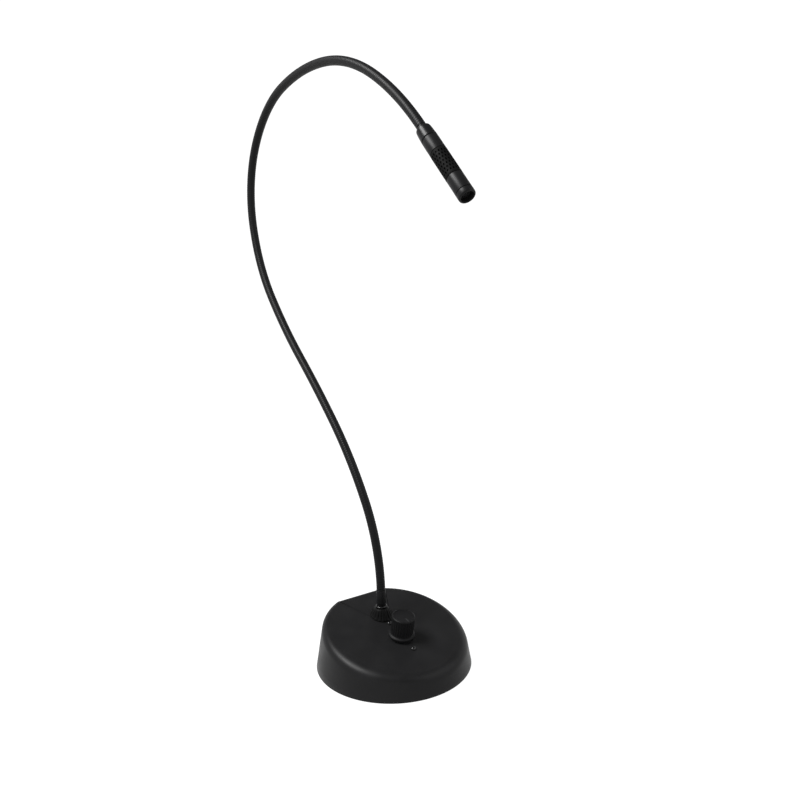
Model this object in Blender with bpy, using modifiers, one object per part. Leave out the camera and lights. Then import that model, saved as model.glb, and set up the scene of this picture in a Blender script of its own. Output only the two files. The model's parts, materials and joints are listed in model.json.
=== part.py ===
"""Gooseneck desktop microphone stand: weighted D-shaped base, level knob, rear 3-pin inlet,
flexible neck as a chain of friction-hinged links, and a slim condenser head.

Frame: +Z up, -Y is the front, X = 0 is the plane of symmetry. The origin is the centre of the
base's round outline, on the surface that the stand rests on. Lengths are in millimetres and
MM turns them into Blender's metres. A tilt is measured from straight up, forwards positive.
"""

import bmesh
import bpy
from math import asin, atan2, cos, hypot, pi, radians, sin, sqrt, tan
from mathutils import Matrix, Vector

MM = 0.001
GAP = 0.3  # between pieces that touch

# Base: a drafted D with a sloping top.
BASE_RADIUS = 54.2
FLAT_Y = 50.0  # flat rear face, at the foot
CORNER_RADIUS = 8.4
DRAFT = radians(9.7)
TOP_SLOPE = radians(12.5)
TOP_HEIGHT = 26.2  # of the sloping top above the table, at the origin
SHELL_FOOT = 0.2
WALL = 2.2
FRONT_FILLET = 7.9
REAR_FILLET = 3.5
PLATE_BOTTOM = 2.1
PLATE_TOP = 4.1
PAD_TOP = 1.8

# What stands on the sloping top, by its distance along Y.
KNOB_Y = -10.1
KNOB_HEIGHT = 17.0
PANEL_SCREW_Y = {"rear": 4.7, "front": -24.8}
PANEL_SCREW_RADIUS = 1.8
PANEL_SCREW_RISE = 1.3
PANEL_SCREW_HOLE = 1.4
NECK_Y = 14.8

# Neck: equal links, each one arc. The bends are the pose that the neck is stored in.
ROOT_TILT = 0.0
ROOT_RISE = 19.6  # from the base's top to the end of the root fitting
NECK_RADIUS = 3.175
NECK_BORE = 1.7
LINK_LENGTH = 64.2
LINK_BENDS = (-32.7, -14.5, -4.8, 10.3, 31.6, 46.1, 36.8, 18.9, 24.4, 17.2)
LINK_GAP = 1.6
LINK_STEPS = 6
CABLE_RADIUS = 1.1

# Head, by the distance along its axis from the end of the neck.
HEAD_FERRULE = (0.3, 10.9)
HEAD_BODY = (11.4, 22.0)
HEAD_VENT = (22.3, 42.4)
HEAD_FRONT = (42.7, 54.2)
HEAD_TIP = (54.6, 58.3)
HEAD_RADIUS = 5.25
CAPSULE_BOARD = 43.2
SPIGOT_RADIUS = 4.5
HEAD_BORE = 4.0

# Rear inlet, on the flat rear face.
INLET_Z = 18.6
INLET_BARREL = 11.3
INLET_BORE = 9.5
INLET_DEPTH = 15.0
INLET_SCREW = 9.8

ROUND = 22  # sides of a small turned piece


def clear_scene():
    for thing in list(bpy.data.objects):
        bpy.data.objects.remove(thing)


def new_collection(name, hidden=False):
    made = bpy.data.collections.new(name)
    bpy.context.scene.collection.children.link(made)
    made.hide_render = hidden
    return made


clear_scene()
STAND = new_collection("desktop_mic_stand")
CUTTERS = new_collection("cutters", hidden=True)


def make_material(name, colour, roughness, metallic=0.0):
    material = bpy.data.materials.new(name)
    material.use_nodes = True
    shader = material.node_tree.nodes["Principled BSDF"]
    shader.inputs["Base Color"].default_value = (*colour, 1.0)
    shader.inputs["Roughness"].default_value = roughness
    shader.inputs["Metallic"].default_value = metallic
    return material


FINISHES = {
    "base_satin": ((0.022, 0.022, 0.023), 0.42),
    "knob_plastic": ((0.016, 0.016, 0.017), 0.5),
    "black_rubber": ((0.015, 0.015, 0.015), 0.85),
    "black_metal": ((0.018, 0.018, 0.019), 0.35, 0.6),
    "neck_satin": ((0.015, 0.015, 0.016), 0.4),
    "black_gloss": ((0.012, 0.012, 0.013), 0.2),
    "zinc_steel": ((0.55, 0.56, 0.58), 0.4, 1.0),
    "cast_iron": ((0.09, 0.09, 0.095), 0.7, 0.8),
    "board_green": ((0.02, 0.11, 0.06), 0.45),
    "cable_grey": ((0.08, 0.08, 0.085), 0.6),
    "insert_black": ((0.02, 0.02, 0.02), 0.55),
    "brass_gold": ((0.8, 0.6, 0.3), 0.3, 1.0),
}
MATERIALS = {name: make_material(name, *values) for name, values in FINISHES.items()}


def top_z(y):
    """Height of the sloping top at y."""
    return TOP_HEIGHT + y * tan(TOP_SLOPE)


def frame(y, z, tilt, x=0.0):
    """A local frame whose +Z leans forwards by tilt, in the plane of symmetry."""
    return Matrix.Translation(Vector((x, y, z)) * MM) @ Matrix.Rotation(tilt, 4, "X")


def on_top(y):
    """Local frame on the sloping top, square to it."""
    return frame(y, top_z(y), TOP_SLOPE)


def along(y, z, tilt, distance):
    return y - distance * sin(tilt), z + distance * cos(tilt)


def add_object(name, mesh, material, place=None):
    made = bpy.data.objects.new(name, mesh)
    if material is None:
        CUTTERS.objects.link(made)
        made.hide_render = True
        made.display_type = "WIRE"
    else:
        STAND.objects.link(made)
        mesh.materials.append(MATERIALS[material])
    if place is not None:
        made.matrix_world = place
    return made


def mesh_of(bm, name):
    mesh = bpy.data.meshes.new(name)
    bmesh.ops.recalc_face_normals(bm, faces=bm.faces)
    bm.to_mesh(mesh)
    bm.free()
    return mesh


def turned(name, profile, material, place, sides=ROUND):
    """A turned piece. The profile holds (radius, height) points, down the outer side. One that
    starts and ends on the axis is solid, and any other is a ring."""
    bm = bmesh.new()
    points = [bm.verts.new((radius * MM, 0.0, height * MM)) for radius, height in profile]
    for above, below in zip(points, points[1:]):
        bm.edges.new((above, below))
    if profile[0][0] > 0.0:
        bm.edges.new((points[-1], points[0]))
    mesh = bpy.data.meshes.new(name)
    bm.to_mesh(mesh)
    bm.free()
    made = add_object(name, mesh, material, place)
    screw = made.modifiers.new("turn", "SCREW")
    screw.axis = "Z"
    screw.steps = sides
    screw.render_steps = sides
    screw.use_merge_vertices = True
    screw.merge_threshold = 1e-5
    return made


def rod(radius, low, high):
    """Profile of a solid cylinder."""
    return [(0.0, high), (radius, high), (radius, low), (0.0, low)]


def tube(outer, inner, low, high):
    """Profile of a ring with a square section."""
    return [(outer, high), (outer, low), (inner, low), (inner, high)]


def block(name, size, material, place, bevel=0.0):
    bm = bmesh.new()
    bmesh.ops.create_cube(bm, size=1.0)
    bmesh.ops.scale(bm, vec=Vector(size) * MM, verts=bm.verts)
    made = add_object(name, mesh_of(bm, name), material, place)
    if bevel:
        rounding = made.modifiers.new("round", "BEVEL")
        rounding.width = bevel * MM
        rounding.segments = 2
    return made


def cut(target, *cutters):
    for cutter in cutters:
        boolean = target.modifiers.new("cut_" + cutter.name, "BOOLEAN")
        boolean.operation = "DIFFERENCE"
        boolean.solver = "EXACT"
        boolean.object = cutter


def drill(name, place, radius, low, high, sides=ROUND):
    return turned(name, rod(radius, low, high), None, place, sides)


def hex_nut(name, corner, bore, low, high, material, place):
    nut = turned(name, rod(corner, low, high), material, place, 6)
    cut(nut, drill(name + "_bore", place, bore, low - 1.0, high + 1.0, 20))


# Base


def d_outline(offset):
    """(x, y, outward x, outward y) round the D at the foot, moved in by offset."""
    reach = BASE_RADIUS - CORNER_RADIUS
    corner_y = FLAT_Y - CORNER_RADIUS
    corner_x = sqrt(reach**2 - corner_y**2)
    start = atan2(corner_y, corner_x)
    radius = BASE_RADIUS - offset
    small = CORNER_RADIUS - offset
    points = []
    arc_steps = 40
    for step in range(arc_steps + 1):
        angle = pi - start + (pi + 2 * start) * step / arc_steps
        points.append((radius * cos(angle), radius * sin(angle), cos(angle), sin(angle)))
    corner_steps = 4
    for side in (1, -1):
        for step in range(corner_steps + 1):
            angle = start + (pi / 2 - start) * step / corner_steps
            if side < 0:
                angle = pi - (pi / 2 + start - angle)
            x = side * corner_x + small * cos(angle)
            points.append((x, corner_y + small * sin(angle), cos(angle), sin(angle)))
    kept = []
    for before, point in zip(points[-1:] + points, points):
        if hypot(point[0] - before[0], point[1] - before[1]) > 1e-3:
            kept.append(point)
    return kept


def wedge_mesh(name, offset, foot, drop):
    """The drafted D from its foot to the sloping top, moved in by offset and down by drop. The
    edges round the top carry bevel weights that grow from the rear to the front."""
    bm = bmesh.new()
    outline = d_outline(offset)
    slope = tan(TOP_SLOPE)
    draft = tan(DRAFT)
    low = []
    high = []
    for x, y, out_x, out_y in outline:
        z = (TOP_HEIGHT - drop + slope * y) / (1.0 + slope * draft * out_y)
        for ring, height in ((low, foot), (high, z)):
            inset = height * draft
            ring.append(bm.verts.new(Vector((x - inset * out_x, y - inset * out_y, height)) * MM))
    bm.faces.new(low)
    top = bm.faces.new(high)
    for i in range(len(low)):
        bm.faces.new((low[i - 1], low[i], high[i], high[i - 1]))
    weights = bm.edges.layers.float.new("bevel_weight_edge")
    for edge in top.edges:
        y = sum(v.co.y for v in edge.verts) / 2 / MM
        share = min(max((FLAT_Y - 8.0 - y) / (FLAT_Y + 20.0), 0.0), 1.0)
        blend = share * share * (3.0 - 2.0 * share)
        edge[weights] = (REAR_FILLET + (FRONT_FILLET - REAR_FILLET) * blend) / FRONT_FILLET
    return mesh_of(bm, name)


def wedge(name, offset, foot, drop, fillet, material, segments):
    made = add_object(name, wedge_mesh(name, offset, foot, drop), material)
    rounding = made.modifiers.new("top_edge", "BEVEL")
    rounding.limit_method = "WEIGHT"
    rounding.width = fillet * FILLET_OFFSET * MM
    rounding.segments = segments
    rounding.use_clamp_overlap = False
    return made


# A fillet's tangent points lie this share of its radius from the sharp edge, at the front.
FILLET_OFFSET = 1.0 / tan((pi / 2 + DRAFT + TOP_SLOPE) / 2)

BASE_SCREWS = ((-31.0, -31.0), (31.0, -31.0), (-38.0, 22.0), (38.0, 22.0))
BOSS_RADIUS = 3.2
NECK_FOOT = (NECK_Y, top_z(NECK_Y), ROOT_TILT)
INLET_TILT = -(pi / 2 - DRAFT)
INLET_PLACE = frame(FLAT_Y - INLET_Z * tan(DRAFT), INLET_Z, INLET_TILT)


def d_plate(name, offset, low, high, material):
    """A flat D-shaped plate."""
    bm = bmesh.new()
    ring = [bm.verts.new(Vector((x, y, low)) * MM) for x, y, _, _ in d_outline(offset)]
    face = bm.faces.new(ring)
    grown = bmesh.ops.extrude_face_region(bm, geom=[face])["geom"]
    rise = Vector((0.0, 0.0, high - low)) * MM
    bmesh.ops.translate(bm, vec=rise, verts=[v for v in grown if isinstance(v, bmesh.types.BMVert)])
    return add_object(name, mesh_of(bm, name), material)


def build_base():
    shell = wedge("base_shell", 0.0, SHELL_FOOT, 0.0, FRONT_FILLET, "base_satin", 5)
    hollow = wedge(
        "base_hollow", WALL / cos(DRAFT), -2.0, WALL / cos(TOP_SLOPE), FRONT_FILLET - WALL, None, 3
    )
    for number, (x, y) in enumerate(BASE_SCREWS, 1):
        cut(hollow, drill(f"boss_{number}", frame(y, 0.0, 0.0, x), BOSS_RADIUS, PLATE_TOP + GAP, 60.0, 14))
    cut(shell, hollow)
    for number, (x, y) in enumerate(BASE_SCREWS, 1):
        cut(shell, drill(f"boss_bore_{number}", frame(y, 0.0, 0.0, x), 1.5, 0.0, 11.0, 12))
    cut(shell, drill("knob_hole", on_top(KNOB_Y), 4.4, -8.0, 4.0, 20))
    for end, y in PANEL_SCREW_Y.items():
        cut(shell, drill(f"{end}_screw_hole", on_top(y), PANEL_SCREW_HOLE, -8.0, 4.0, 14))
    cut(shell, drill("neck_hole", frame(*NECK_FOOT), 4.4, -10.0, 8.0, 20))
    cut(shell, drill("inlet_hole", INLET_PLACE, INLET_BARREL + GAP, -6.0, 6.0, 28))
    for side in (-1, 1):
        place = INLET_PLACE @ Matrix.Translation(Vector((-side, side, 0.0)) * INLET_SCREW * MM)
        cut(shell, drill(f"inlet_screw_hole_{side}", place, 1.4, -6.0, 6.0, 12))

    plate = d_plate("base_plate", 3.5, PLATE_BOTTOM, PLATE_TOP, "zinc_steel")
    pad = d_plate("foot_pad", 5.0, 0.0, PAD_TOP, "black_rubber")
    for number, (x, y) in enumerate(BASE_SCREWS, 1):
        place = frame(y, 0.0, 0.0, x)
        cut(plate, drill(f"plate_hole_{number}", place, 1.6, 0.0, 6.0, 12))
        cut(pad, drill(f"pad_hole_{number}", place, 3.4, -2.0, 4.0, 16))
        head = [(0.0, 0.8), (2.0, 0.8), (2.7, 1.2), (2.7, PLATE_BOTTOM - GAP)]
        shank = [(1.2, PLATE_BOTTOM - GAP), (1.2, 9.6), (0.7, 10.6), (0.0, 10.6)]
        turned(f"base_screw_{number}", (head + shank)[::-1], "zinc_steel", place, 14)


def build_ballast():
    """A cast slab on the plate, round at the front and cut straight behind for the inlet."""
    bm = bmesh.new()
    rear = 24.0
    radius = 38.5
    bottom = PLATE_TOP + GAP
    start = asin(rear / radius)
    steps = 30
    ring = []
    for step in range(steps + 1):
        angle = pi - start + (pi + 2 * start) * step / steps
        ring.append(bm.verts.new(Vector((radius * cos(angle), radius * sin(angle), bottom)) * MM))
    face = bm.faces.new(ring)
    grown = bmesh.ops.extrude_face_region(bm, geom=[face])["geom"]
    rise = Vector((0.0, 0.0, 5.0)) * MM
    bmesh.ops.translate(bm, vec=rise, verts=[v for v in grown if isinstance(v, bmesh.types.BMVert)])
    add_object("ballast_weight", mesh_of(bm, "ballast_weight"), "cast_iron")


BOARD_BOTTOM = 11.0
BOARD_THICK = 1.6


def build_electronics():
    top = BOARD_BOTTOM + BOARD_THICK
    middle_z = BOARD_BOTTOM + BOARD_THICK / 2
    block("preamp_board", (38.0, 40.0, BOARD_THICK), "board_green", frame(6.0, middle_z, 0.0))
    for number, (x, y) in enumerate(((-15.0, -9.0), (15.0, -9.0), (0.0, 20.0)), 1):
        low = PLATE_TOP + GAP + 5.0 + GAP
        spacer = tube(2.6, 1.4, low, BOARD_BOTTOM - GAP)
        turned(f"board_spacer_{number}", spacer, "insert_black", frame(y, 0.0, 0.0, x), 12)
    can = [(0.0, 8.0), (2.6, 8.0), (3.1, 7.5), (3.1, 0.0), (0.0, 0.0)]
    turned("output_capacitor", can, "cable_grey", frame(16.0, top + GAP, 0.0, -13.0), 16)
    block("cable_plug", (8.0, 5.0, 3.0), "insert_black", frame(CABLE_START[0], top + GAP + 1.5, 0.0), 0.3)


# Controls on the top


def build_controls():
    underside = -WALL
    place = on_top(KNOB_Y)
    bracket_y = (PANEL_SCREW_Y["rear"] + PANEL_SCREW_Y["front"]) / 2
    thick = 1.2
    bracket_place = on_top(bracket_y) @ Matrix.Translation(Vector((0, 0, underside - GAP - thick / 2)) * MM)
    bracket = block("control_bracket", (14.0, 36.6, thick), "zinc_steel", bracket_place)
    cut(bracket, drill("bracket_hole", place, 4.4, -12.0, 4.0, 20))
    for end, y in PANEL_SCREW_Y.items():
        cut(bracket, drill(f"bracket_{end}_hole", on_top(y), PANEL_SCREW_HOLE, -12.0, 4.0, 14))
        dome = [(0.0, GAP + PANEL_SCREW_RISE)]
        for angle in map(radians, (75, 55, 35, 15)):
            dome.append((PANEL_SCREW_RADIUS * cos(angle), GAP + PANEL_SCREW_RISE * sin(angle)))
        shank = PANEL_SCREW_HOLE - GAP
        screw = dome + [(PANEL_SCREW_RADIUS, GAP), (shank, GAP), (shank, -5.2), (0.0, -6.0)]
        turned(f"panel_screw_{end}", screw, "black_gloss", on_top(y), 20)

    body_top = underside - GAP - thick - GAP
    body_low = body_top - 5.5
    bore_low = body_low + 1.2
    bushing = [(0.0, bore_low), (3.3, bore_low), (3.3, 3.4), (4.0, 3.4), (4.0, body_top)]
    body = [(6.0, body_top), (6.0, body_low), (0.0, body_low)]
    turned("level_pot", bushing + body, "black_metal", place, 20)
    turned("pot_washer", tube(6.5, 4.3, GAP, GAP + 0.5), "zinc_steel", place, 20)
    hex_nut("pot_nut", 6.1, 4.3, 2 * GAP + 0.5, 2 * GAP + 2.5, "zinc_steel", place)
    shaft = [(0.0, 13.6), (2.6, 13.6), (3.0, 13.2), (3.0, bore_low + GAP), (0.0, bore_low + GAP)]
    turned("pot_shaft", shaft, "zinc_steel", place, 20)
    high = KNOB_HEIGHT
    outer = [(0.0, high - 0.4), (6.6, high - 0.4), (6.8, high), (7.4, high), (7.9, high - 0.5), (7.9, 3.4)]
    skirt = [(9.0, 3.1), (9.2, 2.9), (9.2, 1.7), (7.3, 1.7), (7.3, 3.8)]
    knob_bore = [(3.3, 3.8), (3.3, 13.9), (0.0, 13.9)]
    knob = turned("level_knob", outer + skirt + knob_bore, "knob_plastic", place, 28)
    screw_place = place @ Matrix.Translation(Vector((0, 0, 8.4)) * MM) @ Matrix.Rotation(pi / 2, 4, "Y")
    cut(knob, drill("set_screw_hole", screw_place, 1.5, 2.5, 10.0, 12))
    turned("knob_set_screw", rod(1.1, 3.3, 7.6), "zinc_steel", screw_place, 12)
    return place


# Rear inlet


def build_inlet():
    barrel = tube(INLET_BARREL, INLET_BORE, -INLET_DEPTH, 0.9)
    shell = turned("inlet_shell", barrel, "black_metal", INLET_PLACE, 28)
    flange_place = INLET_PLACE @ Matrix.Translation(Vector((0, 0, GAP + 0.8)) * MM)
    flange = block("inlet_flange_form", (26.0, 25.0, 1.6), None, flange_place)
    join = shell.modifiers.new("flange", "BOOLEAN")
    join.operation = "UNION"
    join.solver = "EXACT"
    join.object = flange
    cut(shell, drill("inlet_mouth", INLET_PLACE, INLET_BORE, -INLET_DEPTH - 1.0, 4.0, 28))
    insert_top = -INLET_DEPTH + 3.5
    insert = turned(
        "inlet_insert", rod(INLET_BORE - GAP, -INLET_DEPTH, insert_top), "insert_black", INLET_PLACE, 24
    )
    for number, angle in enumerate((210.0, 330.0, 90.0), 1):
        offset = Vector((cos(radians(angle)), sin(radians(angle)), 0.0)) * 4.6 * MM
        place = INLET_PLACE @ Matrix.Translation(offset)
        cut(insert, drill(f"pin_hole_{number}", place, 1.5, -20.0, 0.0, 12))
        pin = [(0.0, -2.0), (0.7, -2.1), (1.2, -2.8), (1.2, -INLET_DEPTH - 1.5), (0.0, -INLET_DEPTH - 1.5)]
        turned(f"inlet_pin_{number}", pin, "brass_gold", place, 12)
    for number, side in enumerate((-1, 1), 1):
        place = INLET_PLACE @ Matrix.Translation(Vector((-side, side, 0.0)) * INLET_SCREW * MM)
        cut(shell, drill(f"flange_hole_{number}", place, 1.4, -4.0, 4.0, 12))
        top = GAP + 1.6 + GAP
        screw = [(0.0, top + 1.3), (1.2, top + 1.2), (2.2, top + 0.5), (2.2, top), (1.1, top), (1.1, -4.5)]
        turned(f"inlet_screw_{number}", screw + [(0.0, -5.0)], "black_metal", place, 14)


# Neck


def root_end():
    return along(*NECK_FOOT, ROOT_RISE)


def neck_walk():
    """(y, z, tilt) at the end of the root fitting and at the end of every link."""
    y, z = root_end()
    tilt = ROOT_TILT
    stops = [(y, z, tilt)]
    for bend in LINK_BENDS:
        y, z, tilt = arc_point(y, z, tilt, radians(bend), 1.0)
        stops.append((y, z, tilt))
    return stops


def arc_point(y, z, tilt, bend, share):
    """The point this share of the way along a link that starts at (y, z) and turns by bend."""
    radius = LINK_LENGTH / bend
    end = tilt + bend * share
    return y + radius * (cos(end) - cos(tilt)), z + radius * (sin(end) - sin(tilt)), end


def poly_tube(name, points, radius, resolution, caps, material):
    curve = bpy.data.curves.new(name, "CURVE")
    curve.dimensions = "3D"
    curve.bevel_depth = radius * MM
    curve.bevel_resolution = resolution
    curve.use_fill_caps = caps
    spline = curve.splines.new("POLY")
    spline.points.add(len(points) - 1)
    for point, (y, z) in zip(spline.points, points):
        point.co = (0.0, y * MM, z * MM, 1.0)
    return add_object(name, curve, material)


def hollow_link(name, points, origin):
    """A bent tube with a bore: the bare outer surface of a curve, thickened inwards."""
    local = [(y - origin[0], z - origin[1]) for y, z in points]
    guide = poly_tube(name + "_guide", local, NECK_RADIUS, 3, False, "neck_satin")
    graph = bpy.context.evaluated_depsgraph_get()
    mesh = bpy.data.meshes.new_from_object(guide.evaluated_get(graph))
    bpy.data.objects.remove(guide)
    mesh.name = name
    made = bpy.data.objects.new(name, mesh)
    STAND.objects.link(made)
    made.location = Vector((0.0, *origin)) * MM
    wall = made.modifiers.new("wall", "SOLIDIFY")
    wall.thickness = (NECK_RADIUS - NECK_BORE) * MM
    wall.offset = -1.0
    wall.use_rim = True
    return made


def build_neck():
    """The links, and an empty on each joint that carries what lies beyond it."""
    stops = neck_walk()
    carriers = [None]
    for number, bend in enumerate(LINK_BENDS, 1):
        y, z, tilt = stops[number - 1]
        first = (GAP if number == 1 else LINK_GAP / 2) / LINK_LENGTH
        last = 1.0 - (GAP if number == len(LINK_BENDS) else LINK_GAP / 2) / LINK_LENGTH
        shares = [first + (last - first) * step / LINK_STEPS for step in range(LINK_STEPS + 1)]
        points = [arc_point(y, z, tilt, radians(bend), share)[:2] for share in shares]
        link = hollow_link(f"neck_link_{number}", points, (y, z))
        if number > 1:
            joint = bpy.data.objects.new(f"neck_joint_{number - 1}", None)
            STAND.objects.link(joint)
            joint.matrix_world = frame(y, z, tilt)
            if carriers[-1]:
                hang(joint, carriers[-1], joint.matrix_world.copy())
            carriers.append(joint)
            hang(link, joint, Matrix.Translation(Vector((0.0, y, z)) * MM))
    return stops, carriers[-1]


def hang(child, parent, place):
    """Parents child and keeps it where place says."""
    child.parent = parent
    bpy.context.view_layer.update()
    child.matrix_parent_inverse = parent.matrix_world.inverted()
    child.matrix_world = place


def build_root():
    """What holds the neck in the base: fitting, collar, ring, washer and nut."""
    place = frame(*NECK_FOOT)
    collar_top = 6.4
    fitting = [(3.35, ROOT_RISE - 0.3), (3.35, 9.6), (3.0, 9.3), (3.0, -9.5), (NECK_BORE, -9.5)]
    outer = [(3.2, ROOT_RISE)] + fitting + [(NECK_BORE, ROOT_RISE)]
    turned("neck_root_fitting", outer, "black_metal", place)
    ring = [(3.7, 8.0), (3.95, 7.7), (3.95, 7.0), (3.7, 6.7), (3.3, 6.7), (3.3, 8.0)]
    turned("collar_ring", ring, "black_gloss", place)
    tilted_ring("neck_collar", 8.1, 4.8, 3.3, GAP, collar_top, "black_metal")
    tilted_ring("tapered_washer", 5.4, 5.4, 3.3, -WALL / cos(TOP_SLOPE) - GAP, -5.6, "zinc_steel")
    hex_nut("neck_lock_nut", 5.6, 3.3, -9.0, -5.9, "brass_gold", place)


def tilted_ring(name, slope_radius, square_radius, bore, slope_end, square_end, material):
    """A ring round the neck's foot with one end parallel to the sloping top, slope_end above it,
    and the other square to the neck, square_end up the neck's axis."""
    sides = ROUND
    neck = frame(*NECK_FOOT)
    top = on_top(NECK_Y) @ Matrix.Translation(Vector((0, 0, slope_end * cos(TOP_SLOPE))) * MM)
    square = neck @ Matrix.Translation(Vector((0, 0, square_end)) * MM)
    axis = (neck @ Vector((0, 0, 1)) - neck @ Vector((0, 0, 0))).normalized()
    normal = (top @ Vector((0, 0, 1)) - top @ Vector((0, 0, 0))).normalized()
    bm = bmesh.new()
    rings = []
    outer = ((top, slope_radius, False), (square, square_radius, False))
    inner = ((square, bore, False), (top, bore, True))
    for place, radius, along_neck in outer + inner:
        ring = []
        for step in range(sides):
            angle = 2 * pi * step / sides
            point = place @ (Vector((radius * cos(angle), radius * sin(angle), 0.0)) * MM)
            if along_neck:
                point = neck @ (Vector((radius * cos(angle), radius * sin(angle), 0.0)) * MM)
                point += axis * ((top @ Vector((0, 0, 0)) - point).dot(normal) / axis.dot(normal))
            ring.append(bm.verts.new(point))
        rings.append(ring)
    for one, other in zip(rings, rings[1:] + rings[:1]):
        for step in range(sides):
            bm.faces.new((one[step - 1], one[step], other[step], other[step - 1]))
    return add_object(name, mesh_of(bm, name), material)


CABLE_START = along(*NECK_FOOT, -9.5)
CABLE_LOW = BOARD_BOTTOM + BOARD_THICK + GAP + 3.0 + GAP


def build_cable(stops, head_end):
    """The microphone's cable, from its plug on the board to the board behind the capsule."""
    y, z = CABLE_START
    points = [(y, CABLE_LOW), along(*NECK_FOOT, -6.0), along(*NECK_FOOT, 5.0), along(*NECK_FOOT, 14.0)]
    for (y, z, tilt), bend in zip(stops, LINK_BENDS):
        points += [arc_point(y, z, tilt, radians(bend), step / 5)[:2] for step in range(5)]
    y, z, tilt = stops[-1]
    points += [along(y, z, tilt, distance) for distance in (0.0, 12.0, 26.0, head_end)]
    poly_tube("mic_cable", points, CABLE_RADIUS, 2, True, "cable_grey")


# Head


def head_profiles():
    """(name, profile, finish) of each turned piece of the head, down its outer side from the front."""
    ferrule_low, ferrule_high = HEAD_FERRULE
    body_low, body_high = HEAD_BODY
    vent_low, vent_high = HEAD_VENT
    front_low, front_high = HEAD_FRONT
    tip_low, tip_high = HEAD_TIP
    join = SPIGOT_RADIUS + GAP
    spigot = 4.2
    taper = [(5.2, ferrule_high), (4.95, 5.6), (4.75, 2.8), (4.5, 2.1), (3.5, 1.4), (3.35, ferrule_low)]
    ferrule = [(SPIGOT_RADIUS, ferrule_high + 4.0), (SPIGOT_RADIUS, ferrule_high)] + taper
    ferrule += [(NECK_BORE, ferrule_low), (NECK_BORE, 3.4), (3.9, 3.4), (3.9, ferrule_high + 4.0)]
    body = [(SPIGOT_RADIUS, body_high + spigot), (SPIGOT_RADIUS, body_high), (5.2, body_high)]
    body += [(5.2, body_low), (join, body_low), (join, body_low + spigot), (HEAD_BORE, body_low + spigot)]
    body += [(HEAD_BORE, body_high + spigot)]
    vent = tube(HEAD_RADIUS, join, vent_low, vent_high)
    front = [(HEAD_RADIUS, front_high), (HEAD_RADIUS, front_low), (SPIGOT_RADIUS, front_low)]
    front += [(SPIGOT_RADIUS, front_low - spigot), (HEAD_BORE, front_low - spigot)]
    front += [(HEAD_BORE, tip_low - spigot), (join, tip_low - spigot), (join, front_high)]
    tip = [(4.6, tip_high), (5.0, tip_high - 0.2), (HEAD_RADIUS, tip_high - 0.7), (HEAD_RADIUS, tip_low)]
    tip += [(SPIGOT_RADIUS, tip_low), (SPIGOT_RADIUS, tip_low - spigot + GAP), (3.8, tip_low - spigot + GAP)]
    tip += [(3.8, tip_high - 1.0), (4.1, tip_high)]
    gasket_low = tip_low - spigot + GAP
    capsule_high = gasket_low - 0.5
    capsule_low = capsule_high - 5.2
    return (
        ("head_ferrule", ferrule, "black_gloss"),
        ("head_body_tube", body, "black_metal"),
        ("vent_sleeve", vent, "black_metal"),
        ("head_front_tube", front, "black_metal"),
        ("head_tip_ring", tip, "black_metal"),
        ("capsule_gasket", tube(3.5, 2.4, gasket_low, gasket_low + 1.3), "black_rubber"),
        ("cable_clamp", tube(3.6, 1.4, 4.4, 8.0), "insert_black"),
        ("capsule_board", rod(3.7, CAPSULE_BOARD, CAPSULE_BOARD + 1.0), "board_green"),
        ("mic_capsule", rod(3.7, capsule_low, capsule_high), "zinc_steel"),
        ("mic_grille", rod(3.5, tip_high - 3.2, tip_high - 2.6), "black_metal"),
    )


def build_head(stops, carrier):
    y, z, tilt = stops[-1]
    place = frame(y, z, tilt)
    for name, profile, finish in head_profiles():
        made = turned(name, profile, finish, place)
        if name == "vent_sleeve":
            for row, middle in enumerate((29.2, 35.6)):
                cut_slots(made, place, row, middle)
        hang(made, carrier, place)


def cut_slots(sleeve, place, row, middle):
    """A row of six long slots, cut by three bars that pass right through."""
    for bar in range(3):
        turn = Matrix.Rotation(pi * bar / 3, 4, "Z")
        lift = Matrix.Translation(Vector((0.0, 0.0, middle)) * MM)
        cut(sleeve, block(f"slot_bar_{row}_{bar}", (20.0, 1.4, 5.6), None, place @ lift @ turn))


def build():
    build_base()
    build_ballast()
    build_electronics()
    knob_place = build_controls()
    build_inlet()
    build_root()
    stops, last_joint = build_neck()
    build_cable(stops, CAPSULE_BOARD - GAP)
    build_head(stops, last_joint)
    spindle = bpy.data.objects.new("knob_spindle", None)
    STAND.objects.link(spindle)
    spindle.matrix_world = knob_place
    for name in ("pot_shaft", "level_knob", "knob_set_screw"):
        piece = bpy.data.objects[name]
        hang(piece, spindle, piece.matrix_world.copy())


build()
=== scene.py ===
"""Looks of the gooseneck desktop microphone stand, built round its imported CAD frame.

Frame: +Z up, -Y is the front, X = 0 is the plane of symmetry, and the origin is the centre of
the base's round outline on the surface that it stands on. Lengths are in millimetres and MM
turns them into metres. A tilt is measured from straight up, forwards positive.
"""

import json
from math import atan2, cos, hypot, pi, radians, sin, sqrt, tan

import bmesh
import bpy
from mathutils import Matrix, Vector


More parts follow.
